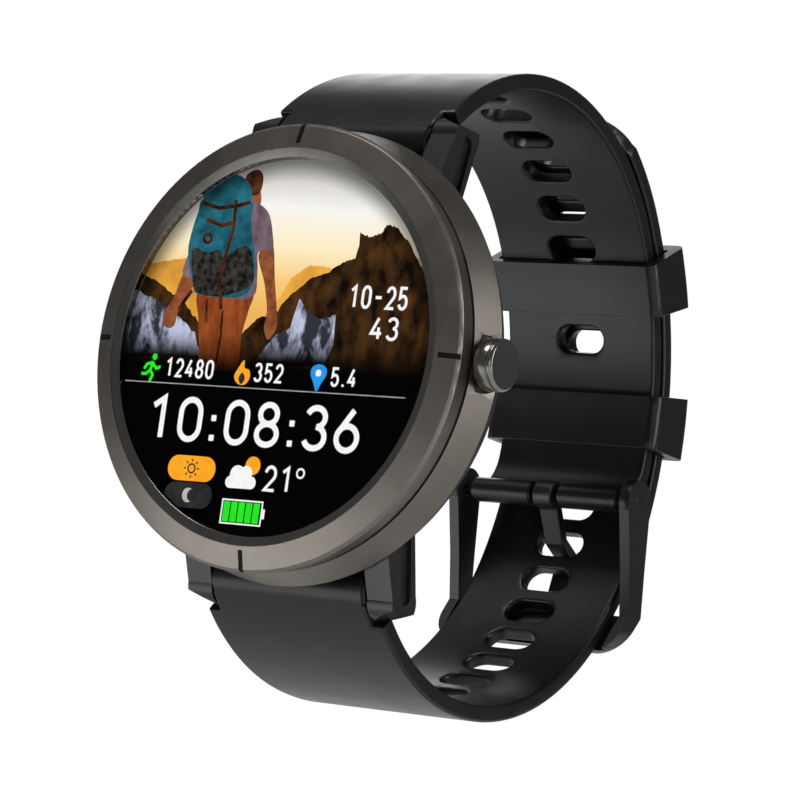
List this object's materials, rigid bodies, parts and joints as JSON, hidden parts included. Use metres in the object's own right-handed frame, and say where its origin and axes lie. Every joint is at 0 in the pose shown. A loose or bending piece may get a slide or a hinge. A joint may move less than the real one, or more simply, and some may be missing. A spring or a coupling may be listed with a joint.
{
  "type": "golf gps watch",
  "caption": "Round sports watch with a bezel, push crown, lugs on spring bars, and a slotted two-piece strap closed by keepers and a tang buckle.",
  "frame": {"origin": "centre of the case back's flat outer face", "axes": "-Y out of the dial, +X to the crown at 3 o'clock, +Z to 12 o'clock"},
  "size_m": [0.0492, 0.0641, 0.0688],
  "materials": {
    "gunmetal_ring": "bead-blasted gunmetal, satin",
    "polished_gunmetal": "polished dark gunmetal",
    "black_inlay": "matt black fill",
    "case_black": "fine matt texture",
    "case_back_black": "satin moulded",
    "strap_black": "soft silicone sheen",
    "buckle_black": "matt black coating",
    "bright_steel": "bright turned",
    "clear_glass": "polished, clear",
    "dark_glass": "polished dark window",
    "display": "lit panel behind glass",
    "bracket_metal": "stamped",
    "board_green": "solder mask",
    "chip_black": "moulded package",
    "antenna_ceramic": "glazed ceramic",
    "battery_wrap": "foil pouch",
    "gold_contact": "gold plated",
    "gasket_black": "soft seal"
  },
  "bodies": {
    "case": {"bezel_ring": "gunmetal_ring", "bezel_marks": "black_inlay", "glass_trim_ring": "polished_gunmetal", "mid_case": "gunmetal_ring", "lower_case": "case_black", "case_back": "case_back_black", "case_back_gasket": "gasket_black", "case_back_screws": "bright_steel", "sensor_window": "dark_glass", "sensor_board": "board_green", "charge_contacts": "gold_contact", "cover_glass": "clear_glass", "glass_gasket": "gasket_black", "display_module": "display", "display_bracket": "bracket_metal", "main_board": "board_green", "board_chips": "chip_black", "gps_antenna": "antenna_ceramic", "battery": "battery_wrap", "vibration_motor": "bright_steel", "crown_tube": "bright_steel", "crown_spring": "bright_steel", "push_switch": "chip_black", "spring_bar_lower": "bright_steel", "release_spring_lower": "bright_steel"},
    "rotor": {"motor_rotor": "bright_steel"},
    "crown_press": {"crown_spring_seat": "bright_steel"},
    "crown": {"crown_cap": "polished_gunmetal", "crown_stem": "bright_steel", "crown_o_ring": "gasket_black", "crown_clip": "bright_steel"},
    "upper_band": {"strap_short_front": "strap_black", "spring_bar_upper": "bright_steel", "release_spring_upper": "bright_steel"},
    "back_band": {"strap_short_rear": "strap_black", "strap_long_rear": "strap_black", "buckle_pin": "buckle_black"},
    "lower_band": {"strap_long_front": "strap_black"},
    "upper_release": {"release_pin_upper": "bright_steel"},
    "lower_release": {"release_pin_lower": "bright_steel"},
    "upper_keeper": {"keeper_upper": "strap_black"},
    "lower_keeper": {"keeper_lower": "strap_black"},
    "buckle": {"buckle_frame": "buckle_black"},
    "tang": {"buckle_tang": "buckle_black"}
  },
  "joints": [
    {"name": "motor_spin", "type": "hinge", "parent": "case", "child": "rotor", "pos_m": [-0.001, -0.0065, -0.0142], "axis": [0, 1, 0], "continuous": true},
    {"name": "crown_push", "type": "slide", "parent": "case", "child": "crown_press", "axis": [-1, 0, 0], "range_m": [0, 0.0005], "stiffness_N_per_m": 1200, "springref_m": -0.001, "deforming": ["crown_spring"]},
    {"name": "crown_turn", "type": "hinge", "parent": "crown_press", "child": "crown", "pos_m": [0.0227, -0.00735, 0], "axis": [1, 0, 0], "continuous": true},
    {"name": "band_sway", "type": "hinge", "parent": "case", "child": "upper_band", "pos_m": [0, -0.0014, 0.023], "axis": [1, 0, 0], "range_deg": [-6, 6], "stiffness_Nm_per_rad": 0.5},
    {"name": "short_strap_flex", "type": "hinge", "parent": "upper_band", "child": "back_band", "pos_m": [0, 0.0234, 0.033], "axis": [1, 0, 0], "range_deg": [-4.4, 4.4]},
    {"name": "long_strap_flex", "type": "hinge", "parent": "back_band", "child": "lower_band", "pos_m": [0, 0.02376, -0.03285], "axis": [1, 0, 0], "range_deg": [-4.34, 4.34]},
    {"name": "upper_release_slide", "type": "slide", "parent": "upper_band", "child": "upper_release", "axis": [-1, 0, 0], "range_m": [0, 0.001], "stiffness_N_per_m": 600, "springref_m": -0.001, "deforming": ["release_spring_upper"]},
    {"name": "lower_release_slide", "type": "slide", "parent": "case", "child": "lower_release", "axis": [-1, 0, 0], "range_m": [0, 0.001], "stiffness_N_per_m": 600, "springref_m": -0.001, "deforming": ["release_spring_lower"]},
    {"name": "upper_keeper_slide", "type": "hinge", "parent": "back_band", "child": "upper_keeper", "pos_m": [0, 0.009, 0.0008], "axis": [1, 0, 0], "range_deg": [-6, 2.4]},
    {"name": "lower_keeper_slide", "type": "hinge", "parent": "back_band", "child": "lower_keeper", "pos_m": [0, 0.009, 0.0008], "axis": [1, 0, 0], "range_deg": [-1.8, 5]},
    {"name": "buckle_lift", "type": "hinge", "parent": "back_band", "child": "buckle", "pos_m": [0, 0.042, -0.0075], "axis": [1, 0, 0], "range_deg": [0, 8]},
    {"name": "tang_lift", "type": "hinge", "parent": "buckle", "child": "tang", "pos_m": [0, 0.042, -0.0075], "axis": [1, 0, 0], "range_deg": [0, 3]}
  ],
  "couplings": [
    {"joint": "short_strap_flex", "follows": "band_sway", "ratio": -0.7001},
    {"joint": "long_strap_flex", "follows": "band_sway", "ratio": 0.69}
  ]
}
